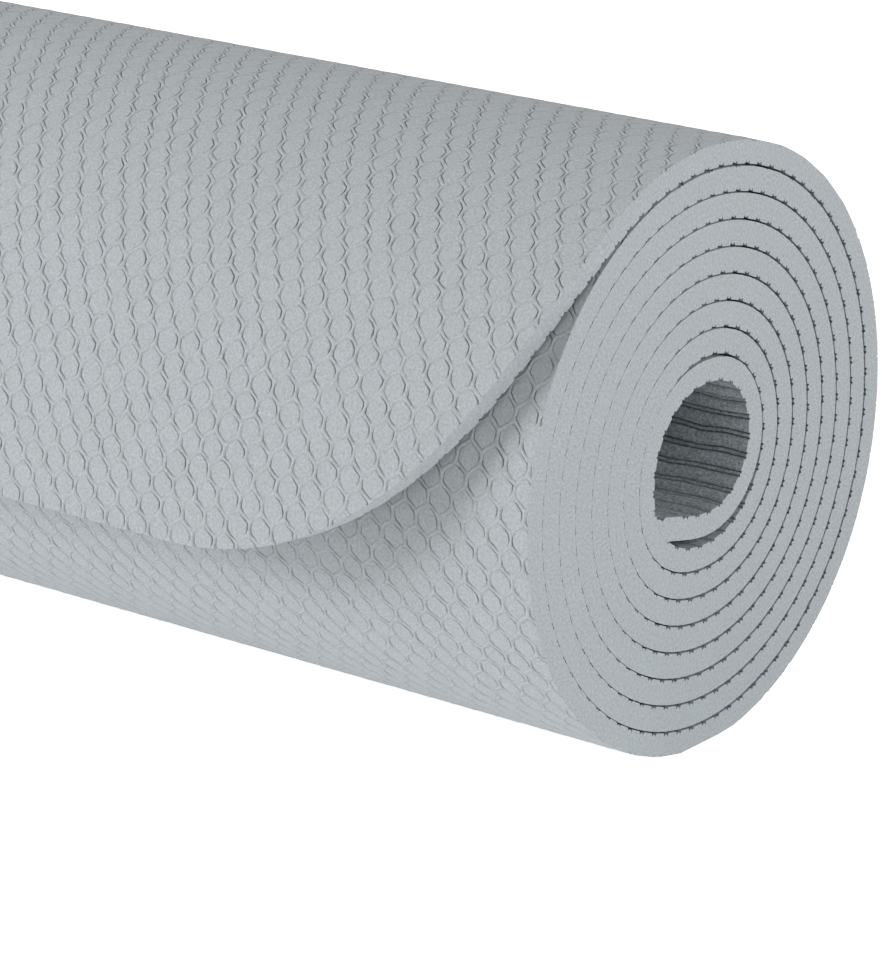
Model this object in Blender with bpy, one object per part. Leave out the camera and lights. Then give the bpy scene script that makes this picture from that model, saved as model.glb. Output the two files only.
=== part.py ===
"""A rolled exercise mat: one sheet of foam wound on itself and lying on its side.

The axis of the roll runs along X, the floor is at Z = 0 and the loose end is on the front, at -Y.
The sheet is laid out flat, as x across it, s along it and w through it, and is then wound up.
Its last turn is cut across into short lengths on hinges, so that it can be laid out flat again.
"""

import math

import bmesh
import bpy
from mathutils import Vector

# Sizes of the sheet, in metres
MAT_WIDTH = 0.610
FOAM_THICKNESS = 0.0039
CORNER_RADIUS = 0.0693

# Sizes of the winding, in metres
BORE_RADIUS = 0.0105
TURN_GAP = 0.00066
INNER_END_LENGTH = 0.0100
INNER_END_BEND = 0.0262
LOOSE_END_LENGTH = 0.0421
LOOSE_END_BEND = 0.0880
RESTING_FLAT_DEPTH = 0.0005
SEAM_GAP = 0.0003

# The winding is drawn through knots at equal angles, from the bottom up the back, over and down
KNOTS_PER_TURN = 8
SPOKES_PER_KNOT = 6
BORE_SHARES = (1.0, 1.117, 1.234, 1.252, 1.178, 1.15, 1.12, 1.12)
FIRST_CLIMB_SHARES = (0.0, 0.0, 0.0, 0.0, 0.0, 0.17, 0.52, 0.96)
SECOND_GAP_SHARES = (2.5, 2.0, 0.85, 0.8, 1.5, 0.8, 0.86, 0.78)
GAP_SHARES = (1.149, 1.07, 0.91, 1.0, 1.0, 0.93, 0.8, 0.74)
WOUND_SPOKES = 416

# The lengths of the last turn that swing
FIRST_HINGE_SPOKE = 386.5
HINGED_LENGTHS = 7

# How finely the model is drawn
INNER_END_STEPS = 4
CORNER_STEPS = 14
TINY_SHARE = 1e-3
SHARP_ANGLE_DEG = 40

FOAM_COLOUR = (0.46, 0.50, 0.51, 1.0)
FOAM_ROUGHNESS = 0.85


def clear_scene():
    for obj in list(bpy.data.objects):
        bpy.data.objects.remove(obj, do_unlink=True)


def foam_material():
    material = bpy.data.materials.new("foam")
    material.use_nodes = True
    shader = material.node_tree.nodes["Principled BSDF"]
    shader.inputs["Base Color"].default_value = FOAM_COLOUR
    shader.inputs["Roughness"].default_value = FOAM_ROUGHNESS
    shader.inputs["Metallic"].default_value = 0.0
    return material


def knot_radius(knot):
    """Radius of the inner face at a knot, counted from the bottom of the first turn."""
    turn, place = divmod(max(knot, 0), KNOTS_PER_TURN)
    pitch = FOAM_THICKNESS + TURN_GAP
    radius = BORE_RADIUS * BORE_SHARES[place] + pitch * FIRST_CLIMB_SHARES[place]
    if turn > 0:
        radius += FOAM_THICKNESS + TURN_GAP * SECOND_GAP_SHARES[place]
        radius += (turn - 1) * (FOAM_THICKNESS + TURN_GAP * GAP_SHARES[place])
    return radius


def inner_radius(spoke):
    """Radius of the inner face at any spoke, on a smooth curve through the knots."""
    along = spoke / SPOKES_PER_KNOT
    knot = math.floor(along)
    t = along - knot
    before, here, after, beyond = (knot_radius(knot + step) for step in (-1, 0, 1, 2))
    rise = (after - before) / 2
    next_rise = (beyond - here) / 2
    ease = t * t * (3 - 2 * t)
    bow = t * (1 - t) * ((1 - t) * rise - t * next_rise)
    return here + (after - here) * ease + bow


def mid_point(spoke):
    """Middle of the sheet's thickness at a spoke, as (y, z) from the axis of the roll."""
    angle = spoke * math.tau / (KNOTS_PER_TURN * SPOKES_PER_KNOT)
    radius = inner_radius(spoke) + FOAM_THICKNESS / 2
    return Vector((radius * math.sin(angle), -radius * math.cos(angle)))


def bend_on(start, direction, bend, length, steps):
    """Points of an arc that leaves start along direction and bends to the left of it."""
    left = Vector((-direction.y, direction.x))
    points = []
    for step in range(1, steps + 1):
        turn = length * step / (steps * bend)
        points.append(start + bend * (math.sin(turn) * direction + (1 - math.cos(turn)) * left))
    return points


def winding():
    """The line that the middle of the sheet follows: its points, its outward normals and lengths."""
    wound = [mid_point(spoke) for spoke in range(WOUND_SPOKES + 1)]
    spoke_step = (wound[-1] - wound[-2]).length
    small = TINY_SHARE
    leaving = (mid_point(WOUND_SPOKES) - mid_point(WOUND_SPOKES - small)).normalized()
    starting = (mid_point(small) - mid_point(0)).normalized()
    tail_steps = max(2, round(LOOSE_END_LENGTH / spoke_step))
    tail = bend_on(wound[-1], leaving, LOOSE_END_BEND, LOOSE_END_LENGTH, tail_steps)
    mirrored = bend_on(
        Vector((-wound[0].x, wound[0].y)),
        Vector((starting.x, -starting.y)),
        INNER_END_BEND,
        INNER_END_LENGTH,
        INNER_END_STEPS,
    )
    head = [Vector((-point.x, point.y)) for point in reversed(mirrored)]
    points = head + wound + tail
    normals = []
    lengths = [0.0]
    for place, point in enumerate(points):
        before = points[max(place - 1, 0)]
        after = points[min(place + 1, len(points) - 1)]
        along = (after - before).normalized()
        normals.append(Vector((along.y, -along.x)))
        if place:
            lengths.append(lengths[-1] + (point - before).length)
    return points, normals, lengths, len(head)


class Winding:
    """Places a point of the flat sheet on the roll, which stands on the floor, centred on Z."""

    def __init__(self):
        self.points, self.normals, self.lengths, self.first_spoke = winding()
        faces = [p + n * (FOAM_THICKNESS / 2) for p, n in zip(self.points, self.normals)]
        across = [face.x for face in faces]
        lift = -min(face.y for face in faces) - RESTING_FLAT_DEPTH
        self.axis = Vector((-(min(across) + max(across)) / 2, lift))

    @property
    def length(self):
        return self.lengths[-1]

    def at(self, s, w):
        """(y, z) of the place s along the sheet and w outward from the middle of its thickness."""
        place = 1
        while place < len(self.lengths) - 1 and self.lengths[place] < s:
            place += 1
        low, high = self.lengths[place - 1], self.lengths[place]
        t = (s - low) / (high - low)
        point = self.points[place - 1].lerp(self.points[place], t)
        normal = self.normals[place - 1].lerp(self.normals[place], t)
        return tuple(self.axis + point + normal * w)

    def length_at(self, spoke):
        place = self.first_spoke + math.floor(spoke)
        share = spoke - math.floor(spoke)
        return self.lengths[place] + share * (self.lengths[place + 1] - self.lengths[place])

    def least_gap(self):
        """The least distance between one turn's outer face and the next turn's inner face."""
        turn = KNOTS_PER_TURN * SPOKES_PER_KNOT
        near = KNOTS_PER_TURN // 2
        outer = [p + n * (FOAM_THICKNESS / 2) for p, n in zip(self.points, self.normals)]
        inner = [p - n * (FOAM_THICKNESS / 2) for p, n in zip(self.points, self.normals)]
        found = []
        for place in range(len(outer)):
            for other in range(place + turn - near, min(place + turn + near, len(inner) - 1)):
                a, b = inner[other], inner[other + 1]
                found.append(distance_to_segment(outer[place], a, b))
                found.append(distance_to_segment(a, *outer[place : place + 2]))
        return min(found)


def distance_to_segment(point, a, b):
    along = b - a
    t = (point - a).dot(along) / along.length_squared
    return (point - a - along * min(1, max(0, t))).length


def half_width(s, length):
    """Half of the sheet's width at s, drawn in where its last two corners are rounded."""
    into_corner = s - (length - CORNER_RADIUS)
    if into_corner <= 0:
        return MAT_WIDTH / 2
    rise = math.sqrt(max(CORNER_RADIUS**2 - into_corner**2, 0))
    return MAT_WIDTH / 2 - CORNER_RADIUS + rise


def cross_lines(start, end, line):
    """The places along the sheet where it bends or where its outline does."""
    places = [s for s in line.lengths if start < s < end]
    for step in range(1, CORNER_STEPS):
        reach = math.sin(step * math.pi / 2 / CORNER_STEPS)
        s = line.length - CORNER_RADIUS + CORNER_RADIUS * reach
        if start < s < end:
            places.append(s)
    nearest = CORNER_RADIUS * TINY_SHARE
    kept = [start]
    for s in sorted(places):
        if s - kept[-1] > nearest and end - s > nearest:
            kept.append(s)
    return kept + [end]


def wound_length(name, start, end, line, origin, material):
    """One length of the sheet: loops across the flat sheet, bridged, capped and wound up."""
    mesh_data = bmesh.new()
    half = FOAM_THICKNESS / 2
    previous = []
    first_loop = []
    for s in cross_lines(start, end, line):
        x = half_width(s, line.length)
        outer = line.at(s, half)
        inner = line.at(s, -half)
        corners = ((-x, *outer), (x, *outer), (x, *inner), (-x, *inner))
        loop = [mesh_data.verts.new(Vector(corner) - origin) for corner in corners]
        for side in range(len(loop)):
            if previous:
                after = (side + 1) % len(loop)
                mesh_data.faces.new((previous[side], previous[after], loop[after], loop[side]))
        first_loop = first_loop or loop
        previous = loop
    mesh_data.faces.new(first_loop)
    mesh_data.faces.new(tuple(reversed(previous)))
    bmesh.ops.recalc_face_normals(mesh_data, faces=mesh_data.faces)
    mesh = bpy.data.meshes.new(name)
    mesh_data.to_mesh(mesh)
    mesh_data.free()
    mesh.materials.append(material)
    mesh.shade_smooth()
    mesh.set_sharp_from_angle(angle=math.radians(SHARP_ANGLE_DEG))
    obj = bpy.data.objects.new(name, mesh)
    bpy.context.scene.collection.objects.link(obj)
    return obj


def cut_resting_flat(obj):
    """Cuts the lowest turn flat at the floor, where the roll's weight presses it."""
    mesh_data = bmesh.new()
    mesh_data.from_mesh(obj.data)
    everything = mesh_data.verts[:] + mesh_data.edges[:] + mesh_data.faces[:]
    cut = bmesh.ops.bisect_plane(
        mesh_data, geom=everything, plane_co=(0, 0, 0), plane_no=(0, 0, 1), clear_inner=True
    )
    rim = [item for item in cut["geom_cut"] if isinstance(item, bmesh.types.BMEdge)]
    bmesh.ops.edgeloop_fill(mesh_data, edges=rim)
    bmesh.ops.recalc_face_normals(mesh_data, faces=mesh_data.faces)
    mesh_data.to_mesh(obj.data)
    mesh_data.free()
    obj.data.set_sharp_from_angle(angle=math.radians(SHARP_ANGLE_DEG))


def chord_angle(line, start, end):
    """The slope, in degrees, of the straight line between two hinges."""
    y0, z0 = line.at(start, FOAM_THICKNESS / 2)
    y1, z1 = line.at(end, FOAM_THICKNESS / 2)
    return math.degrees(math.atan2(z1 - z0, y1 - y0))


def build():
    clear_scene()
    line = Winding()
    foam = foam_material()
    first_hinge = line.length_at(FIRST_HINGE_SPOKE)
    hinge_places = [
        first_hinge + (line.length - first_hinge) * count / HINGED_LENGTHS
        for count in range(HINGED_LENGTHS + 1)
    ]
    half_seam = SEAM_GAP / 2
    roll = wound_length(
        "rolled_turns", 0.0, first_hinge - half_seam, line, Vector((0, 0, 0)), foam
    )
    cut_resting_flat(roll)
    slope = 0.0
    parent = roll
    parent_origin = Vector((0, 0, 0))
    for count in range(HINGED_LENGTHS):
        start, end = hinge_places[count : count + 2]
        last = count == HINGED_LENGTHS - 1
        name = "loose_end" if last else f"outer_turn_{count + 1}"
        hinge = Vector((0, *line.at(start, FOAM_THICKNESS / 2)))
        stop = end if last else end - half_seam
        piece = wound_length(name, start + half_seam, stop, line, hinge, foam)
        piece.parent = parent
        piece.location = hinge - parent_origin
        turned = (chord_angle(line, start, end) - slope) % 360
        slope += turned
        print(f"hinge of {name}: y {hinge.y:.6f} z {hinge.z:.6f} m, opens {turned:.3f} degrees")
        parent = piece
        parent_origin = hinge
    print(f"length of the sheet {line.length:.4f} m, axis at y {line.axis.x:.6f} z {line.axis.y:.6f} m")
    print(f"least gap between turns {line.least_gap():.6f} m")


build()
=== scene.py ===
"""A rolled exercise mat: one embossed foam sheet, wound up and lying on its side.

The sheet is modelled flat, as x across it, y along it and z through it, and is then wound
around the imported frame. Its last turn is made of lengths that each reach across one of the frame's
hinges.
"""

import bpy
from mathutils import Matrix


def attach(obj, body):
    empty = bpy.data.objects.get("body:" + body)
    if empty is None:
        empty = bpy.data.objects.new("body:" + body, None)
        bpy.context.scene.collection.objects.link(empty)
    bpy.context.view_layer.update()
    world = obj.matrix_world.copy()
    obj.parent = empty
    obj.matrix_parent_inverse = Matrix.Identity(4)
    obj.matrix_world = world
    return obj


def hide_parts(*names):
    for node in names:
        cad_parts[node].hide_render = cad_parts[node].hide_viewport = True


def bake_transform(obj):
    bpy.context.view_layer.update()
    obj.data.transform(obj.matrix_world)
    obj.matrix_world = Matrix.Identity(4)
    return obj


bl_info = {
    "name": "Rolled foam mat",
    "version": (1, 0, 0),
    "blender": (4, 5, 0),
    "location": "View3D > Sidebar > Rolled mat",
    "description": "Models an embossed foam mat that is wound into a roll",
    "category": "Object",
}

import math

import bmesh
import bpy
import numpy as np
from mathutils import Matrix, Vector

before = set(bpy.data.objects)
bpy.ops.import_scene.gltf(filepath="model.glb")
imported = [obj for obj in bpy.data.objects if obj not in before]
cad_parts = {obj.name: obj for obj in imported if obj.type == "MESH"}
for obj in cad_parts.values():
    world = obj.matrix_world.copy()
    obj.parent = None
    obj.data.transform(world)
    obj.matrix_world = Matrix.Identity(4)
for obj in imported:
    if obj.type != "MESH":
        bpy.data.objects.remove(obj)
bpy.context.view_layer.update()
MM = 0.001

# The winding, as in the CAD part
FOAM_THICKNESS = 3.9 * MM
TURN_GAP = 0.66 * MM
BORE_RADIUS = 10.5 * MM
INNER_END_LENGTH = 10.0 * MM
INNER_END_BEND = 26.2 * MM
LOOSE_END_LENGTH = 42.1 * MM
LOOSE_END_BEND = 88.0 * MM
RESTING_FLAT_DEPTH = 0.5 * MM
KNOTS_PER_TURN = 8
SPOKES_PER_KNOT = 6
TURN_SPOKES = KNOTS_PER_TURN * SPOKES_PER_KNOT
BORE_SHARES = (1.0, 1.117, 1.234, 1.252, 1.178, 1.15, 1.12, 1.12)
FIRST_CLIMB_SHARES = (0.0, 0.0, 0.0, 0.0, 0.0, 0.17, 0.52, 0.96)
SECOND_GAP_SHARES = (2.5, 2.0, 0.85, 0.8, 1.5, 0.8, 0.86, 0.78)
GAP_SHARES = (1.149, 1.07, 0.91, 1.0, 1.0, 0.93, 0.8, 0.74)
WOUND_SPOKES = 416
FIRST_HINGE_SPOKE = 386.5
HINGED_LENGTHS = 7

# How finely the winding is drawn
FINER_SPOKES = 4
INNER_END_STEPS = 16
TAIL_STEPS = 40
SMALL_SPOKE = 1e-3
CORNER_PLANES = 28

# The spokes at which the roll's pieces are cut apart, and how far the last cut lies before the hinge
CUT_SPOKES = (60.0, 338.0, 352.0, 366.0, 376.5)
FIRST_BEND_REACH = 6.0 * MM

# Which of those cuts bound the inner turn, the core, the turns under the last one and the front
INNER_CUTS = slice(0, 2)
CORE_CUTS = slice(1, 3)
UNDER_CUTS = slice(2, 5)
FRONT_CUTS = slice(4, None)

# A cell: the shares of its half width at which its rings lie, how far its side corners are drawn
# in, and half the length of its side walls as a share of the row pitch
FINE_RINGS = (("ridge", 0.925), ("groove", 0.85), ("plateau", 0.775))
PLAIN_RINGS = (("groove", 0.84), ("plateau", 0.76))
SIDE_CORNER_PULL = 0.94
HEX_SIDES = 6
SIDE_WALL_SHARE = 0.28
RIM_RISE = 0.01 * MM
SMALL_SHARE = 1e-3

# How deep the groove is around a cell, and how high the ridge between two cells rises or sinks
DEPTH_MEAN_SHARE = 0.9
DEPTH_SWING_SHARE = 0.5
DEEPEST_DIRECTION = math.radians(-30)
RIDGE_MEAN_SHARE = 0.05
RIDGE_SWING_SHARE = 0.25
LOWEST_RIDGE_DIRECTION = math.radians(-45)

# How far the columns and the rows of cells lean, as shares of their length
COLUMN_LEAN_SHARE = -0.02
ROW_LEAN_SHARE = -0.018

# How far the columns are shifted from the middle, as a share of a cell, and how many are modelled
# past the sheet's width
COLUMN_SHIFT_SHARE = 0.3
SPARE_COLUMNS = 3

# Waves of the embossing's unevenness, in radians for each metre of the sheet, the shares in which
# they bend each other and are mixed, and the shares of the seed in their phases
WAVE_ACROSS = 610
WAVE_ALONG = 530
BENDS_OF_WAVES = (190, 230)
BEND_SHARES = (2.1, 1.6)
SLANTING_WAVE = (1370, -1130)
SLANTING_SHARE = 0.8
SEED_SHARES = (1.7, 2, 0.9, 2.4)

# How far the unevenness moves the cells, broadly and in a finer part, and how it varies their depth
BROAD_WANDER = 0.2 * MM
FINE_WANDER = 0.13 * MM
FINE_TIMES = 4
DEPTH_WANDER_SHARE = 0.5
DEPTH_TIMES = 2.6
HEIGHT_WANDER = 0.03 * MM
ACROSS_SEEDS = (1.0, 11.0)
ALONG_SEEDS = (4.0, 14.0)
DEPTH_SEED = 17.0
HEIGHT_SEED = 7.0

# The underside, and the plain outer face inside the roll: places across one row, as shares of it,
# and how much of the groove's depth each has
UNDERSIDE_PLACE_SHARES = (-0.5, -0.21, -0.125, -0.06, 0.06, 0.125, 0.21, 0.33)
UNDERSIDE_DEPTH_SHARES = (0.0, 0.0, 1.0, 0.4, 0.4, 1.0, 0.0, 0.0)
OUTER_PLACE_SHARES = (-0.42, -0.36, 0.36, 0.42)
OUTER_DEPTH_SHARES = (0.5, 0.0, 0.0, 0.5)

# The slow wave of the underside's grooves, and its parts in radians for each metre of the sheet
UNDERSIDE_WAVE = 0.3 * MM
UNDERSIDE_COLUMNS = 125
LONG_GROOVE_WAVE = 271
LONG_WAVE_BEND = 90
LONG_BEND_SHARE = 2.0
SHORT_GROOVE_WAVE = (640, 350)
SHORT_WAVE_SHARE = 0.5

# How much of the gap between the turns the foam fills at each knot, where they press together,
# and from which share on the underside's grooves close, and by how much
FILL_SHARES = (0.48, 0.42, 0.4, 0.46, 0.64, 0.92, 0.98, 0.85)
CLOSING_SHARE = 0.6
CLOSED_DEPTH_SHARE = 0.8

# The spokes at which the outer face stops being covered and the underside stops pressing
COVERED_END_SPOKE = 368.0
PRESSING_END_SPOKE = 412.0
EASING_SPOKES = 6.0

# How the inner end leans on the turn around it: shifts of its edges as (y, z), and their reach
UNDER_EDGE_SHIFT = (-5.5 * MM, 0.6 * MM)
OUTER_EDGE_SHIFT = (-1.5 * MM, -0.7 * MM)
LEANING_REACH = 4.8 * MM
LEANING_NARROWING = 3e-4

# How far from the middle of the thickness the straight part of the cut edges begins
STRAIGHT_EDGE_REACH = 0.8 * MM

SHARP_ANGLE = math.radians(40)
WEAK_MERGE = 0.01 * MM
CUT_TOLERANCE = 1e-7

FACE, UNDERSIDE, CUT_EDGE = range(3)


class MatSizes(bpy.types.PropertyGroup):
    """Sizes of the sheet and of its embossing."""

    width: bpy.props.FloatProperty(
        name="Width", description="Width of the sheet", default=0.610, unit="LENGTH"
    )
    corner_radius: bpy.props.FloatProperty(
        name="Corner radius",
        description="Radius of the two corners of the loose end",
        default=0.0693,
        unit="LENGTH",
    )
    cell_width: bpy.props.FloatProperty(
        name="Cell width",
        description="Width of one embossed cell across the sheet",
        default=0.00486,
        unit="LENGTH",
    )
    row_pitch: bpy.props.FloatProperty(
        name="Row pitch",
        description="Distance between rows of cells along the flat sheet",
        default=0.0039,
        unit="LENGTH",
    )
    groove_depth: bpy.props.FloatProperty(
        name="Groove depth",
        description="Depth of the groove around each cell",
        default=0.00018,
        unit="LENGTH",
    )
    underside_depth: bpy.props.FloatProperty(
        name="Underside groove depth",
        description="Depth of the paired grooves across the underside",
        default=0.00055,
        unit="LENGTH",
    )
    ridge_rise: bpy.props.FloatProperty(
        name="Ridge rise",
        description="How far the net of ridges stands above the cells",
        default=0.00003,
        unit="LENGTH",
    )


class MatColours(bpy.types.PropertyGroup):
    """Colours of the foam and of the stage."""

    face: bpy.props.FloatVectorProperty(
        name="Face",
        description="Colour of the embossed face",
        default=(0.486, 0.521, 0.542),
        subtype="COLOR",
    )
    underside: bpy.props.FloatVectorProperty(
        name="Underside",
        description="Colour of the grooved underside",
        default=(0.41, 0.455, 0.48),
        subtype="COLOR",
    )
    cut_edge: bpy.props.FloatVectorProperty(
        name="Cut edge",
        description="Colour of the cut edges of the foam",
        default=(0.475, 0.515, 0.535),
        subtype="COLOR",
    )
    floor: bpy.props.FloatVectorProperty(
        name="Floor", description="Colour of the floor", default=(0.9, 0.9, 0.9), subtype="COLOR"
    )


def sizes():
    return bpy.context.scene.mat_sizes


def colours():
    return bpy.context.scene.mat_colours


# The winding


def knot_radii(knots):
    """Radius of the inner face at each knot, counted from the bottom of the first turn."""
    turn, place = np.divmod(np.maximum(knots, 0), KNOTS_PER_TURN)
    first = BORE_RADIUS * np.take(BORE_SHARES, place)
    first += (FOAM_THICKNESS + TURN_GAP) * np.take(FIRST_CLIMB_SHARES, place)
    second = FOAM_THICKNESS + TURN_GAP * np.take(SECOND_GAP_SHARES, place)
    later = (turn - 1) * (FOAM_THICKNESS + TURN_GAP * np.take(GAP_SHARES, place))
    return first + np.where(turn > 0, second + later, 0)


def mid_points(spokes):
    """Middle of the sheet's thickness at each spoke, as (y, z) from the axis of the roll."""
    spokes = np.asarray(spokes, float)
    along = spokes / SPOKES_PER_KNOT
    knot = np.floor(along).astype(int)
    t = along - knot
    before, here, after, beyond = (knot_radii(knot + step) for step in (-1, 0, 1, 2))
    rise = (after - before) / 2
    next_rise = (beyond - here) / 2
    ease = t * t * (3 - 2 * t)
    bow = t * (1 - t) * ((1 - t) * rise - t * next_rise)
    radius = here + (after - here) * ease + bow + FOAM_THICKNESS / 2
    angle = spokes * math.tau / TURN_SPOKES
    return np.stack([radius * np.sin(angle), -radius * np.cos(angle)], axis=-1)


def unit(vectors):
    return vectors / np.linalg.norm(vectors, axis=-1, keepdims=True)


def bend_on(start, direction, bend, length, steps):
    """Points of an arc that leaves start along direction and bends to the left of it."""
    turn = (length / bend * np.arange(1, steps + 1) / steps)[:, None]
    left = np.array([-direction[1], direction[0]])
    return start + bend * (np.sin(turn) * direction + (1 - np.cos(turn)) * left)


class Winding:
    """The line that the middle of the sheet follows, and where it puts a place of the flat sheet."""

    def __init__(self):
        self.spokes = np.arange(WOUND_SPOKES * FINER_SPOKES + 1) / FINER_SPOKES
        wound = mid_points(self.spokes)
        leaving = unit(wound[-1] - mid_points(WOUND_SPOKES - SMALL_SPOKE))
        starting = unit(mid_points(SMALL_SPOKE) - wound[0])
        tail = bend_on(wound[-1], leaving, LOOSE_END_BEND, LOOSE_END_LENGTH, TAIL_STEPS)
        mirror = np.array([-1, 1])
        head = mirror * bend_on(
            mirror * wound[0], -mirror * starting, INNER_END_BEND, INNER_END_LENGTH, INNER_END_STEPS
        )
        self.points = np.concatenate([head[::-1], wound, tail])
        steps = np.linalg.norm(np.diff(self.points, axis=0), axis=1)
        self.lengths = np.concatenate([[0.0], np.cumsum(steps)])
        self.spoke_lengths = self.lengths[len(head) : len(head) + len(wound)]
        along = np.empty_like(self.points)
        along[1:-1] = self.points[2:] - self.points[:-2]
        along[0] = self.points[1] - self.points[0]
        along[-1] = self.points[-1] - self.points[-2]
        along = unit(along)
        self.normals = np.stack([along[:, 1], -along[:, 0]], axis=-1)
        faces = self.points + self.normals * (FOAM_THICKNESS / 2)
        middle = (faces[:, 0].min() + faces[:, 0].max()) / 2
        self.axis = np.array([-middle, -faces[:, 1].min() - RESTING_FLAT_DEPTH])
        self.length = self.lengths[-1]

    def length_at(self, spoke):
        return float(np.interp(spoke, self.spokes, self.spoke_lengths))

    def at(self, s, w):
        """(y, z) of the places s along the sheet and w outward from the middle of its thickness."""
        points = [np.interp(s, self.lengths, self.points[:, k]) for k in range(2)]
        normals = [np.interp(s, self.lengths, self.normals[:, k]) for k in range(2)]
        return [self.axis[k] + points[k] + normals[k] * w for k in range(2)]

    def place(self, s, w=0.0):
        return Vector((0.0, *(float(value) for value in self.at(s, w))))


LINE = Winding()
FIRST_HINGE = LINE.length_at(FIRST_HINGE_SPOKE)
HINGE_STEP = (LINE.length - FIRST_HINGE) / HINGED_LENGTHS


# Materials


def add_node(tree, kind, place, **values):
    """Adds a node at a place, with its settings and the values of its named inputs."""
    node = tree.nodes.new(kind)
    node.location = place
    for name, value in values.items():
        if hasattr(node, name):
            setattr(node, name, value)
        else:
            node.inputs[name.replace("_", " ")].default_value = value
    return node


def foam_grain_group():
    """Grain of closed foam: fine speckle, a soft mottling and small pores with painted shade in them, on
    given coordinates.
    """
    name = "foam grain"
    if name in bpy.data.node_groups:
        return bpy.data.node_groups[name]
    tree = bpy.data.node_groups.new(name, "ShaderNodeTree")
    face = tree.interface
    face.new_socket("Place", in_out="INPUT", socket_type="NodeSocketVector")
    face.new_socket("Colour", in_out="INPUT", socket_type="NodeSocketColor")
    for label, value in (
        ("Speckle Scale", 2600.0),
        ("Speckle", 0.06),
        ("Mottle Scale", 120.0),
        ("Mottle", 0.04),
        ("Pore Scale", 700.0),
        ("Pore Size", 0.12),
        ("Pore Depth", 0.2),
    ):
        socket = face.new_socket(label, in_out="INPUT", socket_type="NodeSocketFloat")
        socket.default_value = value
    face.new_socket("Colour", in_out="OUTPUT", socket_type="NodeSocketColor")
    face.new_socket("Roughness", in_out="OUTPUT", socket_type="NodeSocketFloat")
    face.new_socket("Height", in_out="OUTPUT", socket_type="NodeSocketFloat")
    link = tree.links.new
    given = add_node(tree, "NodeGroupInput", (-900, 0))
    speckle = add_node(tree, "ShaderNodeTexNoise", (-650, 260), Detail=3.0, Roughness=0.65)
    mottle = add_node(tree, "ShaderNodeTexNoise", (-650, 0), Detail=4.0, Roughness=0.6)
    pores = add_node(tree, "ShaderNodeTexVoronoi", (-650, -260), Randomness=1.0)
    for texture, scale in ((speckle, "Speckle Scale"), (mottle, "Mottle Scale"), (pores, "Pore Scale")):
        link(given.outputs["Place"], texture.inputs["Vector"])
        link(given.outputs[scale], texture.inputs["Scale"])
    pore = add_node(tree, "ShaderNodeMapRange", (-420, -260), interpolation_type="SMOOTHSTEP")
    pore.inputs["To Min"].default_value = 1.0
    pore.inputs["To Max"].default_value = 0.0
    link(pores.outputs["Distance"], pore.inputs["Value"])
    link(given.outputs["Pore Size"], pore.inputs["From Max"])
    shades = []
    for texture, strength, height in ((speckle, "Speckle", 260), (mottle, "Mottle", 0)):
        centred = add_node(tree, "ShaderNodeMath", (-420, height), operation="SUBTRACT")
        centred.inputs[1].default_value = 0.5
        link(texture.outputs["Fac"], centred.inputs[0])
        scaled = add_node(tree, "ShaderNodeMath", (-240, height), operation="MULTIPLY")
        link(centred.outputs[0], scaled.inputs[0])
        link(given.outputs[strength], scaled.inputs[1])
        shades.append(scaled)
    # Painted shade: the colour darkens inside the small pores
    pitted = add_node(tree, "ShaderNodeMath", (-240, -260), operation="MULTIPLY")
    link(pore.outputs["Result"], pitted.inputs[0])
    link(given.outputs["Pore Depth"], pitted.inputs[1])
    both = add_node(tree, "ShaderNodeMath", (-60, 120), operation="ADD")
    link(shades[0].outputs[0], both.inputs[0])
    link(shades[1].outputs[0], both.inputs[1])
    less = add_node(tree, "ShaderNodeMath", (100, 60), operation="SUBTRACT")
    link(both.outputs[0], less.inputs[0])
    link(pitted.outputs[0], less.inputs[1])
    level = add_node(tree, "ShaderNodeMath", (260, 60), operation="ADD")
    level.inputs[1].default_value = 1.0
    link(less.outputs[0], level.inputs[0])
    shade = add_node(tree, "ShaderNodeVectorMath", (420, 120), operation="SCALE")
    link(given.outputs["Colour"], shade.inputs[0])
    link(level.outputs[0], shade.inputs["Scale"])
    rough = add_node(tree, "ShaderNodeMapRange", (420, -80))
    rough.inputs["To Min"].default_value = 0.72
    rough.inputs["To Max"].default_value = 0.92
    link(speckle.outputs["Fac"], rough.inputs["Value"])
    high = add_node(tree, "ShaderNodeMath", (420, -300), operation="SUBTRACT")
    link(speckle.outputs["Fac"], high.inputs[0])
    link(pore.outputs["Result"], high.inputs[1])
    results = add_node(tree, "NodeGroupOutput", (640, 0))
    link(shade.outputs[0], results.inputs["Colour"])
    link(rough.outputs["Result"], results.inputs["Roughness"])
    link(high.outputs[0], results.inputs["Height"])
    return tree


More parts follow.
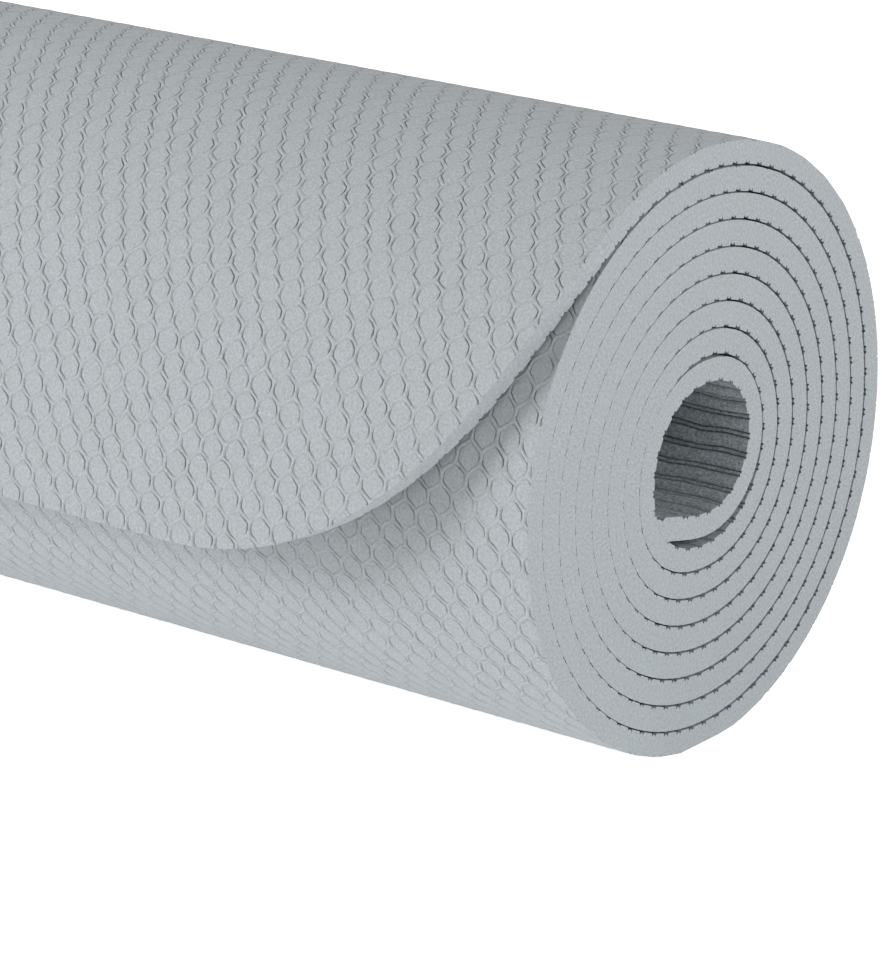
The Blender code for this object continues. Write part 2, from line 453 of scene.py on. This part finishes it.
def foam_material(name, colour, bump, floor_of_groove, top_of_cell, painted_groove_shade, uneven, **grain):
    """Foam with its grain on the sheet's own coordinates, and uneven painted shade down in its grooves.
    """
    if name in bpy.data.materials:
        return bpy.data.materials[name]
    material = bpy.data.materials.new(name)
    material.use_nodes = True
    tree = material.node_tree
    link = tree.links.new
    shader = tree.nodes["Principled BSDF"]
    shader.inputs["Specular IOR Level"].default_value = 0.35
    shader.inputs["Sheen Weight"].default_value = 0.06
    shader.inputs["Sheen Roughness"].default_value = 0.6
    place = add_node(tree, "ShaderNodeAttribute", (-900, 0), attribute_name="sheet_place")
    apart = add_node(tree, "ShaderNodeSeparateXYZ", (-720, -220))
    link(place.outputs["Vector"], apart.inputs[0])
    # Painted shade: the colour darkens with depth, from the ridges down into the grooves, and a fine
    # noise breaks it up
    depth = add_node(tree, "ShaderNodeMapRange", (-540, -220), interpolation_type="SMOOTHSTEP")
    depth.inputs["From Min"].default_value = floor_of_groove + uneven / 2
    depth.inputs["From Max"].default_value = top_of_cell + uneven / 2
    depth.inputs["To Min"].default_value = painted_groove_shade
    depth.inputs["To Max"].default_value = 1.0
    breaks = add_node(tree, "ShaderNodeTexNoise", (-900, -440), Scale=1000.0, Detail=1.0)
    raised = add_node(tree, "ShaderNodeMath", (-630, -440), operation="MULTIPLY_ADD")
    raised.inputs[1].default_value = uneven
    link(place.outputs["Vector"], breaks.inputs["Vector"])
    link(breaks.outputs["Fac"], raised.inputs[0])
    link(apart.outputs["Z"], raised.inputs[2])
    link(raised.outputs[0], depth.inputs["Value"])
    shaded = add_node(tree, "ShaderNodeVectorMath", (-360, -120), operation="SCALE")
    shaded.inputs[0].default_value = colour
    link(depth.outputs["Result"], shaded.inputs["Scale"])
    grained = add_node(tree, "ShaderNodeGroup", (-180, 60))
    grained.node_tree = foam_grain_group()
    for label, value in grain.items():
        grained.inputs[label.replace("_", " ")].default_value = value
    link(place.outputs["Vector"], grained.inputs["Place"])
    link(shaded.outputs[0], grained.inputs["Colour"])
    relief = add_node(tree, "ShaderNodeBump", (20, -220), Strength=1.0, Distance=bump)
    link(grained.outputs["Height"], relief.inputs["Height"])
    link(grained.outputs["Colour"], shader.inputs["Base Color"])
    link(grained.outputs["Roughness"], shader.inputs["Roughness"])
    link(relief.outputs["Normal"], shader.inputs["Normal"])
    return material


def foam_materials():
    """The materials of the embossed face, the underside and the cut edge, in that order."""
    half = FOAM_THICKNESS / 2
    shades = colours()
    # The face and the underside get painted shade down in their grooves; the cut edge gets none
    face = foam_material(
        "embossed foam face",
        shades.face,
        bump=0.05 * MM,
        floor_of_groove=half - 0.24 * MM,
        top_of_cell=half - 0.1 * MM,
        painted_groove_shade=0.5,
        uneven=0.12 * MM,
        Speckle=0.85,
        Speckle_Scale=2200.0,
        Mottle=0.08,
        Pore_Depth=0.0,
    )
    underside = foam_material(
        "grooved foam underside",
        shades.underside,
        bump=0.12 * MM,
        floor_of_groove=0.4 * MM - half,
        top_of_cell=0.15 * MM - half,
        painted_groove_shade=0.45,
        uneven=0.1 * MM,
        Speckle=2.3,
        Speckle_Scale=1900.0,
        Mottle=0.2,
        Pore_Depth=0.0,
    )
    cut_edge = foam_material(
        "cut foam edge",
        shades.cut_edge,
        bump=0.03 * MM,
        floor_of_groove=-2 * half,
        top_of_cell=-half,
        painted_groove_shade=1.0,
        uneven=0.0,
        Speckle=1.0,
        Speckle_Scale=2200.0,
        Mottle=0.08,
        Pore_Scale=900.0,
        Pore_Size=0.1,
        Pore_Depth=0.25,
    )
    return face, underside, cut_edge


# The flat sheet


def edit(obj):
    """Selects one object alone and opens it for editing, with all of it selected."""
    bpy.ops.object.select_all(action="DESELECT")
    bpy.context.view_layer.objects.active = obj
    obj.select_set(True)
    bpy.ops.object.mode_set(mode="EDIT")
    bpy.ops.mesh.select_all(action="SELECT")


def end_edit():
    bpy.ops.object.mode_set(mode="OBJECT")


def ring_heights():
    given = sizes()
    return {
        "rim": RIM_RISE,
        "ridge": 0.0,
        "groove": -given.groove_depth,
        "plateau": -given.ridge_rise,
    }


def shape_cell(mesh, rings):
    """Shapes the rings of a regular hexagon into a real cell's, with its side walls and depths."""
    given = sizes()
    side_reach = math.cos(math.pi / HEX_SIDES)
    shares = [share for kind, share in rings]
    for point in mesh.verts:
        direction = math.atan2(point.co.y, point.co.x)
        is_corner = min(abs(point.co.xy.length - share) for share in shares) < SMALL_SHARE
        if is_corner and abs(point.co.x) > SMALL_SHARE:
            point.co.xy *= SIDE_CORNER_PULL
        if abs(point.co.z + given.groove_depth) < WEAK_MERGE:
            swing = DEPTH_SWING_SHARE * math.cos(2 * (direction - DEEPEST_DIRECTION))
            point.co.z = -given.groove_depth * (DEPTH_MEAN_SHARE + swing)
        if abs(point.co.xy.length - side_reach) < SMALL_SHARE:
            swing = RIDGE_SWING_SHARE * math.cos(2 * (direction - LOWEST_RIDGE_DIRECTION))
            point.co.z = given.groove_depth * (RIDGE_MEAN_SHARE - swing)
        slope = (1 - SIDE_WALL_SHARE) / 2 - SIDE_WALL_SHARE
        lean = 0.0 if abs(point.co.y) < SMALL_SHARE else math.copysign(slope, point.co.y)
        point.co.y = (1 - SIDE_WALL_SHARE) * point.co.y - lean * abs(point.co.x) / side_reach


def embossed_cell(rings):
    """One cell of the embossing and its neighbour: a hexagon inside a groove and a shared rim."""
    given = sizes()
    heights = ring_heights()
    bpy.ops.object.select_all(action="DESELECT")
    bpy.ops.mesh.primitive_circle_add(vertices=HEX_SIDES, radius=1.0, fill_type="NOTHING")
    cell = bpy.context.object
    edit(cell)
    bpy.ops.mesh.subdivide(number_cuts=1)
    bpy.ops.mesh.select_all(action="SELECT")
    bpy.ops.transform.translate(value=(0, 0, heights["rim"]))
    reach = 1.0
    height = heights["rim"]
    for kind, share in rings:
        bpy.ops.mesh.extrude_edges_move()
        scale = (share / reach, share / reach, 1.0)
        bpy.ops.transform.resize(value=scale, center_override=(0, 0, height))
        bpy.ops.transform.translate(value=(0, 0, heights[kind] - height))
        reach, height = share, heights[kind]
    bpy.ops.mesh.edge_face_add()
    mesh = bmesh.from_edit_mesh(cell.data)
    shape_cell(mesh, rings)
    if sum(face.normal.z for face in mesh.faces) < 0:
        bmesh.ops.reverse_faces(mesh, faces=mesh.faces)
    for edge in mesh.edges:
        edge.smooth = not any(len(face.verts) == 2 * HEX_SIDES for face in edge.link_faces)
    bmesh.update_edit_mesh(cell.data)
    bpy.ops.mesh.select_all(action="SELECT")
    wide = given.cell_width / 2 / math.cos(math.pi / HEX_SIDES)
    bpy.ops.transform.resize(value=(wide, given.row_pitch, 1.0), center_override=(0, 0, 0))
    bpy.ops.mesh.duplicate_move(
        TRANSFORM_OT_translate={"value": (given.cell_width / 2, given.row_pitch, 0)}
    )
    bpy.ops.mesh.select_all(action="SELECT")
    bpy.ops.mesh.remove_doubles(threshold=WEAK_MERGE)
    end_edit()
    return cell


def array(obj, count, offset):
    """Repeats an object's mesh, each copy merged with the one before."""
    modifier = obj.modifiers.new("repeated cells", "ARRAY")
    modifier.count = count
    modifier.use_relative_offset = False
    modifier.use_constant_offset = True
    modifier.constant_offset_displace = offset
    modifier.use_merge_vertices = True
    modifier.merge_threshold = WEAK_MERGE
    bpy.context.view_layer.objects.active = obj
    bpy.ops.object.modifier_apply(modifier=modifier.name)


def wander(x, s, seed):
    """A small uneven shift from 0, up to about 1 either way, that changes slowly over the sheet."""
    phases = [share * seed for share in SEED_SHARES]
    bent_along = BEND_SHARES[0] * np.sin(s * BENDS_OF_WAVES[0] + seed)
    bent_across = BEND_SHARES[1] * np.sin(x * BENDS_OF_WAVES[1] + phases[1])
    across = np.sin(x * WAVE_ACROSS + bent_along + phases[0])
    along = np.sin(s * WAVE_ALONG + bent_across + phases[2])
    slanting = np.sin(x * SLANTING_WAVE[0] + s * SLANTING_WAVE[1] + phases[3])
    return (across + along + SLANTING_SHARE * slanting) / (2 + SLANTING_SHARE)


def cell_shift(x, s, seeds):
    """How far the cells stray to one side, in a broad and a fine wander."""
    fine = wander(FINE_TIMES * x, FINE_TIMES * s, seeds[1])
    return BROAD_WANDER * wander(x, s, seeds[0]) + FINE_WANDER * fine


def read_points(obj):
    values = np.empty(len(obj.data.vertices) * 3)
    obj.data.vertices.foreach_get("co", values)
    return values.reshape(-1, 3)


def write_points(obj, points):
    obj.data.vertices.foreach_set("co", points.ravel())
    obj.data.update()


def embossed_face(start, end, rings):
    """The embossed face of the flat sheet between two places along it, still with ragged ends."""
    given = sizes()
    face = embossed_cell(rings)
    columns = math.ceil(given.width / given.cell_width) + SPARE_COLUMNS
    leaning = abs(ROW_LEAN_SHARE) * given.width / 2
    first_pair = math.floor((start - leaning) / given.row_pitch / 2) - 1
    pairs = math.ceil((end + leaning) / given.row_pitch / 2) + 1 - first_pair
    array(face, columns, (given.cell_width, 0, 0))
    array(face, pairs, (0, 2 * given.row_pitch, 0))
    edit(face)
    bpy.ops.mesh.remove_doubles(threshold=WEAK_MERGE)
    end_edit()
    points = read_points(face)
    points[:, 0] -= (columns / 2 - COLUMN_SHIFT_SHARE) * given.cell_width
    points[:, 1] += 2 * first_pair * given.row_pitch
    passed = round(-COLUMN_LEAN_SHARE * start / given.cell_width)
    x = points[:, 0] + passed * given.cell_width
    s = points[:, 1].copy()
    points[:, 0] = x + COLUMN_LEAN_SHARE * s
    points[:, 1] = s + ROW_LEAN_SHARE * points[:, 0]
    points[:, 0] += cell_shift(x, s, ACROSS_SEEDS)
    points[:, 1] += cell_shift(x, s, ALONG_SEEDS)
    points[:, 2] *= 1 + DEPTH_WANDER_SHARE * wander(DEPTH_TIMES * x, DEPTH_TIMES * s, DEPTH_SEED)
    points[:, 2] += FOAM_THICKNESS / 2 + HEIGHT_WANDER * (wander(x, s, HEIGHT_SEED) - 1)
    write_points(face, points)
    return face


def lined_sheet(name, start, end, columns, place_shares, heights, wave):
    """A face of the sheet whose form only changes along it, row by row, with a slow wave."""
    given = sizes()
    half = given.width / 2
    first = math.floor(start / given.row_pitch) - 1
    last = math.ceil(end / given.row_pitch) + 1
    rows = np.arange(first, last + 1)[:, None] * given.row_pitch
    s = (rows + np.array(place_shares)[None, :] * given.row_pitch).ravel()
    z = np.tile(heights, last - first + 1)
    x = np.linspace(-half, half, columns + 1)
    grid_s, grid_x = np.meshgrid(s, x, indexing="ij")
    grid_z = np.repeat(z[:, None], columns + 1, axis=1)
    long_wave = np.sin(grid_x * LONG_GROOVE_WAVE + LONG_BEND_SHARE * np.sin(grid_s * LONG_WAVE_BEND))
    short_wave = np.sin(grid_x * SHORT_GROOVE_WAVE[0] + grid_s * SHORT_GROOVE_WAVE[1])
    grid_s = grid_s + wave * (long_wave + SHORT_WAVE_SHARE * short_wave)
    points = np.stack([grid_x, grid_s, grid_z], axis=-1).reshape(-1, 3)
    across = columns + 1
    corner = (np.arange(len(s) - 1)[:, None] * across + np.arange(columns)[None, :]).ravel()
    faces = np.stack([corner, corner + 1, corner + across + 1, corner + across], axis=-1)
    mesh = bpy.data.meshes.new(name)
    mesh.from_pydata(points.tolist(), [], faces.tolist())
    obj = bpy.data.objects.new(name, mesh)
    bpy.context.scene.collection.objects.link(obj)
    return obj


def keep_shading(obj):
    """Notes how the flat face is shaded, so that the cuts through it leave no mark."""
    bpy.ops.object.select_all(action="DESELECT")
    obj.select_set(True)
    bpy.context.view_layer.objects.active = obj
    bpy.ops.object.shade_smooth()
    mesh = obj.data
    normals = np.empty(len(mesh.loops) * 3, np.float32)
    mesh.corner_normals.foreach_get("vector", normals)
    corners = np.empty(len(mesh.loops), np.int32)
    mesh.loops.foreach_get("vertex_index", corners)
    side = np.sign(read_points(obj)[corners, 2])
    normals = normals.reshape(-1, 3) * side[:, None] * np.sign(normals.reshape(-1, 3)[:, 2:])
    kept = mesh.attributes.new("flat_normal", "FLOAT_VECTOR", "CORNER")
    kept.data.foreach_set("vector", normals.astype(np.float32).ravel())


def turn_shading(obj, s):
    """Turns the shading of the flat sheet along with its winding, for vertices that lie at s."""
    mesh = obj.data
    corners = np.empty(len(mesh.loops), np.int32)
    mesh.loops.foreach_get("vertex_index", corners)
    flat = np.empty(len(mesh.loops) * 3, np.float32)
    kept = mesh.attributes["flat_normal"]
    kept.data.foreach_get("vector", flat)
    flat = flat.reshape(-1, 3)
    out_y, out_z = (np.interp(s[corners], LINE.lengths, LINE.normals[:, k]) for k in range(2))
    normals = np.stack(
        [flat[:, 0], flat[:, 2] * out_y - flat[:, 1] * out_z, flat[:, 2] * out_z + flat[:, 1] * out_y],
        axis=-1,
    )
    mesh.attributes.remove(kept)
    mesh.normals_split_custom_set(normals.tolist())


def corner_planes(start):
    """Planes that round the last two corners past a start, as places and outward directions."""
    given = sizes()
    planes = []
    for step in range(1, CORNER_PLANES):
        turn = math.pi / 2 * step / CORNER_PLANES
        next_turn = turn + math.pi / 2 / CORNER_PLANES
        if LINE.length - given.corner_radius * (1 - math.sin(next_turn)) < start:
            continue
        s = LINE.length - given.corner_radius * (1 - math.sin(turn))
        x = given.width / 2 - given.corner_radius * (1 - math.cos(turn))
        for side in (-1, 1):
            planes.append(((side * x, s, 0), (side * math.cos(turn), math.sin(turn), 0)))
    return planes


def trim(obj, start, end):
    """Cuts a flat face to the sheet's edges and to the ends of one length of it."""
    half = sizes().width / 2
    planes = [((0, start, 0), (0, -1, 0)), ((0, end, 0), (0, 1, 0))]
    planes += [((-half, 0, 0), (-1, 0, 0)), ((half, 0, 0), (1, 0, 0))]
    if end > LINE.length - sizes().corner_radius:
        planes += corner_planes(start)
    edit(obj)
    for place, direction in planes:
        bpy.ops.mesh.select_all(action="SELECT")
        bpy.ops.mesh.bisect(
            plane_co=place, plane_no=direction, clear_outer=True, threshold=CUT_TOLERANCE
        )
    end_edit()


def join_belts(mesh, upper, lower):
    """Triangles between two belts of (angle, order, vertex), each sorted, all the way round."""
    walls = []
    i = j = 0
    while i < len(upper) or j < len(lower):
        here, below = upper[i % len(upper)][2], lower[j % len(lower)][2]
        next_upper = upper[i + 1][0] if i + 1 < len(upper) else math.tau
        next_lower = lower[j + 1][0] if j + 1 < len(lower) else math.tau
        if j >= len(lower) or (i < len(upper) and next_upper <= next_lower):
            i += 1
            corners = (here, below, upper[i % len(upper)][2])
        else:
            j += 1
            corners = (here, below, lower[j % len(lower)][2])
        walls.append(mesh.faces.new(corners))
    return walls


def close_edges(obj, middle):
    """Closes the space between the two faces with the cut edges of the foam, all round."""
    mesh = bmesh.new()
    mesh.from_mesh(obj.data)
    for face in mesh.faces:
        face.smooth = True
        face.material_index = FACE if face.verts[0].co.z > 0 else UNDERSIDE
    edges = [edge for edge in mesh.edges if edge.is_boundary]
    for edge in edges:
        edge.smooth = False
    belts = {True: [], False: []}
    walls = []
    for item in bmesh.ops.extrude_edge_only(mesh, edges=edges)["geom"]:
        if isinstance(item, bmesh.types.BMVert):
            above = item.co.z > 0
            item.co.z = STRAIGHT_EDGE_REACH if above else -STRAIGHT_EDGE_REACH
            angle = math.atan2(item.co.y - middle, item.co.x)
            belts[above].append((angle, len(belts[above]), item))
        elif isinstance(item, bmesh.types.BMFace):
            walls.append(item)
    walls += join_belts(mesh, sorted(belts[True]), sorted(belts[False]))
    flat_normal = mesh.loops.layers.float_vector["flat_normal"]
    for wall in walls:
        wall.material_index = CUT_EDGE
        wall.smooth = True
        for corner in wall.loops:
            corner[flat_normal] = (0, 0, 0)
    bmesh.ops.recalc_face_normals(mesh, faces=mesh.faces)
    # The faces look inward on the flat sheet, because winding it mirrors them
    bmesh.ops.reverse_faces(mesh, faces=mesh.faces)
    for wall in walls:
        for edge in wall.edges:
            if edge.calc_face_angle(0.0) > SHARP_ANGLE:
                edge.smooth = False
    mesh.to_mesh(obj.data)
    mesh.free()


def pressing(s, side):
    """How far the foam fills its gap, as a share, and the gap, on the sheet's outer or inner side."""
    spokes = np.interp(s, LINE.spoke_lengths, LINE.spokes)
    knots = spokes / SPOKES_PER_KNOT % KNOTS_PER_TURN
    around = np.arange(KNOTS_PER_TURN + 1)
    shares = np.interp(knots, around, FILL_SHARES + FILL_SHARES[:1])
    gaps = TURN_GAP * np.interp(knots, around, GAP_SHARES + GAP_SHARES[:1])
    last = np.where(side > 0, COVERED_END_SPOKE, PRESSING_END_SPOKE)
    eased = np.clip((last - spokes) / EASING_SPOKES, 0, 1)
    begun = np.where(side > 0, 1.0, np.clip((spokes - TURN_SPOKES) / EASING_SPOKES, 0, 1))
    return shares * eased * begun, gaps


def pressed_depths(points, side):
    """Depths of the flat piece's points after the foam swells into the gaps and its own grooves."""
    shares, gaps = pressing(points[:, 1], side)
    depths = points[:, 2]
    closed = CLOSED_DEPTH_SHARE * np.clip((shares - CLOSING_SHARE) / (1 - CLOSING_SHARE), 0, 1)
    lowest = -FOAM_THICKNESS / 2
    grooved = (side < 0) & (depths < lowest + 2 * sizes().underside_depth)
    depths = np.where(grooved, depths - closed * (depths - lowest), depths)
    return depths + side * gaps * shares / 2


def wind(obj):
    """Winds a flat piece around the roll, and keeps its flat coordinates for the materials."""
    points = read_points(obj)
    place = obj.data.attributes.new("sheet_place", "FLOAT_VECTOR", "POINT")
    place.data.foreach_set("vector", points.astype(np.float32).ravel())
    side = np.sign(points[:, 2])
    y, z = LINE.at(points[:, 1], pressed_depths(points, side))
    leaning = np.clip(1 - points[:, 1] / LEANING_REACH, 0, 1) ** 2
    through = [-FOAM_THICKNESS / 2, FOAM_THICKNESS / 2]
    y += leaning * np.interp(points[:, 2], through, (UNDER_EDGE_SHIFT[0], OUTER_EDGE_SHIFT[0]))
    z += leaning * np.interp(points[:, 2], through, (UNDER_EDGE_SHIFT[1], OUTER_EDGE_SHIFT[1]))
    x = points[:, 0] * (1 - LEANING_NARROWING * leaning)
    wound = np.stack([x, y, np.maximum(z, 0)], axis=-1)
    write_points(obj, wound)
    turn_shading(obj, points[:, 1])


def underside_heights():
    return [
        -FOAM_THICKNESS / 2 + sizes().underside_depth * share for share in UNDERSIDE_DEPTH_SHARES
    ]


def outer_heights():
    return [
        FOAM_THICKNESS / 2 - sizes().groove_depth / 2 * share for share in OUTER_DEPTH_SHARES
    ]


def mat_length(name, start, end, body, rings=None, waved=False):
    """One closed length of the sheet, wound up.

    Its outer face is plain where no rings are given. Its underside's grooves are straight or waved.
    """
    columns = UNDERSIDE_COLUMNS if waved else 1
    wave = UNDERSIDE_WAVE if waved else 0.0
    if rings:
        face = embossed_face(start, end, rings)
    else:
        face = lined_sheet("outer face", start, end, columns, OUTER_PLACE_SHARES, outer_heights(), 0.0)
    under = lined_sheet(
        "underside", start, end, columns, UNDERSIDE_PLACE_SHARES, underside_heights(), wave
    )
    for side in (face, under):
        keep_shading(side)
        trim(side, start, end)
    bpy.ops.object.select_all(action="DESELECT")
    under.select_set(True)
    face.select_set(True)
    bpy.context.view_layer.objects.active = face
    bpy.ops.object.join()
    piece = bpy.context.object
    piece.name = piece.data.name = name
    close_edges(piece, (start + end) / 2)
    wind(piece)
    for material in foam_materials():
        piece.data.materials.append(material)
    if body:
        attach(piece, body)
    return piece


def roll_cuts():
    """The places at which the pieces that stay on the roll meet."""
    return [0.0, *(LINE.length_at(spoke) for spoke in CUT_SPOKES), FIRST_HINGE - FIRST_BEND_REACH]


def roll_lengths(name, cuts, rings):
    """The embossed lengths between some of the roll's cuts, counted in their names."""
    for count, (start, end) in enumerate(zip(cuts, cuts[1:]), 1):
        piece = mat_length(f"{name}_{count}", start, end, "roll", rings)
        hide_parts("rolled_turns")


class MAT_OT_inner_turn(bpy.types.Operator):
    """Model the first turn, whose grooved underside lines the bore"""

    bl_idname = "mat.inner_turn"
    bl_label = "Inner turn"

    def execute(self, context):
        start, end = roll_cuts()[INNER_CUTS]
        piece = mat_length("inner_turn", start, end, "roll", waved=True)
        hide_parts("rolled_turns")
        return {"FINISHED"}


class MAT_OT_core_turns(bpy.types.Operator):
    """Model the turns inside the roll, which show only on its end faces"""

    bl_idname = "mat.core_turns"
    bl_label = "Core turns"

    def execute(self, context):
        start, end = roll_cuts()[CORE_CUTS]
        piece = mat_length("core_turns", start, end, "roll")
        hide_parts("rolled_turns")
        return {"FINISHED"}


class MAT_OT_under_turns(bpy.types.Operator):
    """Model the lengths that the last turn covers until it is unrolled"""

    bl_idname = "mat.under_turns"
    bl_label = "Turns under the last one"

    def execute(self, context):
        roll_lengths("under_turn", roll_cuts()[UNDER_CUTS], PLAIN_RINGS)
        return {"FINISHED"}


class MAT_OT_front_turns(bpy.types.Operator):
    """Model the lengths that show below the loose end and rest on the floor"""

    bl_idname = "mat.front_turns"
    bl_label = "Front of the roll"

    def execute(self, context):
        roll_lengths("front_turn", roll_cuts()[FRONT_CUTS], FINE_RINGS)
        return {"FINISHED"}


class MAT_OT_outer_turn(bpy.types.Operator):
    """Model the last turn, in lengths that each reach across one of the frame's hinges"""

    bl_idname = "mat.outer_turn"
    bl_label = "Last turn and loose end"

    def execute(self, context):
        start = roll_cuts()[-1]
        bodies = ["roll"] + [f"outer_turn_{count}" for count in range(1, HINGED_LENGTHS)] + ["loose_end"]
        for count, (before, after) in enumerate(zip(bodies, bodies[1:])):
            bend_end = FIRST_HINGE + (count + 0.5) * HINGE_STEP
            end = LINE.length if after == "loose_end" else bend_end
            piece = mat_length(f"mat_{after}", start, end, None, FINE_RINGS, waved=True)
            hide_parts(after)
            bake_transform(piece)
            start = end
        return {"FINISHED"}


# The stage

# The camera, as fitted to the photograph
PHOTO_WIDTH = 882
PHOTO_HEIGHT = 973
FOCAL_PIXELS = 4542.4
SENSOR_HEIGHT_MM = 24.0
CAMERA_AZIMUTH = math.radians(38.296)
CAMERA_ELEVATION = math.radians(18.433)
END_FACE_PIXEL = (704.66, 454.3)
CAMERA_DISTANCE = 0.7599

# The floor, and the plain light of the floor and the world
FLOOR_SIZE = 8.0
WORLD_STRENGTH = 0.25
FLOOR_GLOW = 0.34
GLOW_ADDED_FOR_CAMERA = 0.4

# Each lamp's name, place, aim, size and power in watts
LAMPS = (
    ("front lamp", (-1.46, -1.08, 0.66), (0, 0, 0.05), 0.6, 29),
    ("top lamp", (-0.9, 0.1, 1.15), (0, 0, 0.05), 0.5, 3.2),
    ("end lamp", (1.5, -0.1, 0.6), (0.3, 0, 0.03), 0.6, 6.0),
)


def make_camera():
    """The camera, placed so that the middle of the end face falls on its pixel."""
    azimuth, elevation = CAMERA_AZIMUTH, CAMERA_ELEVATION
    right = Vector((math.cos(azimuth), math.sin(azimuth), 0))
    back = Vector(
        (
            math.sin(azimuth) * math.cos(elevation),
            -math.cos(azimuth) * math.cos(elevation),
            math.sin(elevation),
        )
    )
    up = back.cross(right)
    scale = CAMERA_DISTANCE / FOCAL_PIXELS
    across = (END_FACE_PIXEL[0] - PHOTO_WIDTH / 2) * scale
    above = -(END_FACE_PIXEL[1] - PHOTO_HEIGHT / 2) * scale
    target = Vector((sizes().width / 2, *(float(value) for value in LINE.axis)))
    data = bpy.data.cameras.new("camera")
    data.sensor_fit = "VERTICAL"
    data.sensor_height = SENSOR_HEIGHT_MM
    data.lens = SENSOR_HEIGHT_MM * FOCAL_PIXELS / PHOTO_HEIGHT
    camera = bpy.data.objects.new("camera", data)
    bpy.context.scene.collection.objects.link(camera)
    camera.matrix_world = Matrix.Translation(
        target - across * right - above * up + CAMERA_DISTANCE * back
    ) @ Matrix((right, up, back)).transposed().to_4x4()
    bpy.context.scene.camera = camera


def add_lamp(name, place, aim, size, power):
    """A square soft lamp at a place, turned to what it lights."""
    data = bpy.data.lights.new(name, "AREA")
    data.shape = "SQUARE"
    data.size = size
    data.energy = power
    lamp = bpy.data.objects.new(name, data)
    bpy.context.scene.collection.objects.link(lamp)
    lamp.location = place
    lamp.rotation_euler = (Vector(aim) - Vector(place)).to_track_quat("-Z", "Y").to_euler()


def make_world(strength):
    """A white surrounding: plain soft light, and white where the camera sees past the floor."""
    world = bpy.data.worlds.new("studio")
    bpy.context.scene.world = world
    world.use_nodes = True
    tree = world.node_tree
    link = tree.links.new
    lit = tree.nodes["Background"]
    lit.inputs["Color"].default_value = (1, 1, 1, 1)
    lit.inputs["Strength"].default_value = strength
    seen = add_node(tree, "ShaderNodeBackground", (0, -200))
    seen.inputs["Color"].default_value = (1, 1, 1, 1)
    ray = add_node(tree, "ShaderNodeLightPath", (-200, 300))
    direct = add_node(tree, "ShaderNodeMath", (0, 300), operation="MAXIMUM")
    link(ray.outputs["Is Camera Ray"], direct.inputs[0])
    link(ray.outputs["Is Glossy Ray"], direct.inputs[1])
    mixed = add_node(tree, "ShaderNodeMixShader", (200, 0))
    link(direct.outputs[0], mixed.inputs[0])
    link(lit.outputs[0], mixed.inputs[1])
    link(seen.outputs[0], mixed.inputs[2])
    link(mixed.outputs[0], tree.nodes["World Output"].inputs["Surface"])


def floor_material():
    """A pale floor that is white where nothing shades it."""
    material = bpy.data.materials.new("pale floor")
    material.use_nodes = True
    tree = material.node_tree
    link = tree.links.new
    shader = tree.nodes["Principled BSDF"]
    shader.inputs["Base Color"].default_value = (*colours().floor, 1)
    shader.inputs["Roughness"].default_value = 0.9
    shader.inputs["Specular IOR Level"].default_value = 0.0
    glow = add_node(tree, "ShaderNodeEmission", (0, -300))
    ray = add_node(tree, "ShaderNodeLightPath", (-400, -300))
    strength = add_node(tree, "ShaderNodeMath", (-200, -300), operation="MULTIPLY_ADD")
    strength.inputs[1].default_value = GLOW_ADDED_FOR_CAMERA
    strength.inputs[2].default_value = FLOOR_GLOW
    link(ray.outputs["Is Camera Ray"], strength.inputs[0])
    link(strength.outputs[0], glow.inputs["Strength"])
    both = add_node(tree, "ShaderNodeAddShader", (300, 0))
    link(shader.outputs[0], both.inputs[0])
    link(glow.outputs[0], both.inputs[1])
    link(both.outputs[0], tree.nodes["Material Output"].inputs["Surface"])
    return material


class MAT_OT_stage(bpy.types.Operator):
    """Add the pale floor, the soft lamps and the camera"""

    bl_idname = "mat.stage"
    bl_label = "Stage"

    def execute(self, context):
        bpy.ops.object.select_all(action="DESELECT")
        bpy.ops.mesh.primitive_plane_add(size=FLOOR_SIZE)
        floor = bpy.context.object
        floor.name = "floor"
        floor.data.materials.append(floor_material())
        make_world(WORLD_STRENGTH)
        for name, place, aim, size, power in LAMPS:
            add_lamp(name, place, aim, size, power)
        make_camera()
        context.scene.view_settings.view_transform = "Standard"
        return {"FINISHED"}


class VIEW3D_PT_rolled_mat(bpy.types.Panel):
    bl_label = "Rolled foam mat"
    bl_idname = "VIEW3D_PT_rolled_mat"
    bl_space_type = "VIEW_3D"
    bl_region_type = "UI"
    bl_category = "Rolled mat"

    def draw(self, context):
        layout = self.layout
        for group in (context.scene.mat_sizes, context.scene.mat_colours):
            for name in group.bl_rna.properties.keys():
                if name not in ("rna_type", "name"):
                    layout.prop(group, name)
        for step in STEPS:
            layout.operator(step.bl_idname)


STEPS = (
    MAT_OT_stage,
    MAT_OT_inner_turn,
    MAT_OT_core_turns,
    MAT_OT_under_turns,
    MAT_OT_front_turns,
    MAT_OT_outer_turn,
)
CLASSES = (MatSizes, MatColours, *STEPS, VIEW3D_PT_rolled_mat)


def register():
    for cls in CLASSES:
        bpy.utils.register_class(cls)
    bpy.types.Scene.mat_sizes = bpy.props.PointerProperty(type=MatSizes)
    bpy.types.Scene.mat_colours = bpy.props.PointerProperty(type=MatColours)


def unregister():
    del bpy.types.Scene.mat_colours
    del bpy.types.Scene.mat_sizes
    for cls in reversed(CLASSES):
        bpy.utils.unregister_class(cls)


def main():
    register()
    bpy.ops.mat.stage()
    bpy.ops.mat.inner_turn()
    bpy.ops.mat.core_turns()
    bpy.ops.mat.under_turns()
    bpy.ops.mat.front_turns()
    bpy.ops.mat.outer_turn()


if __name__ == "__main__":
    main()
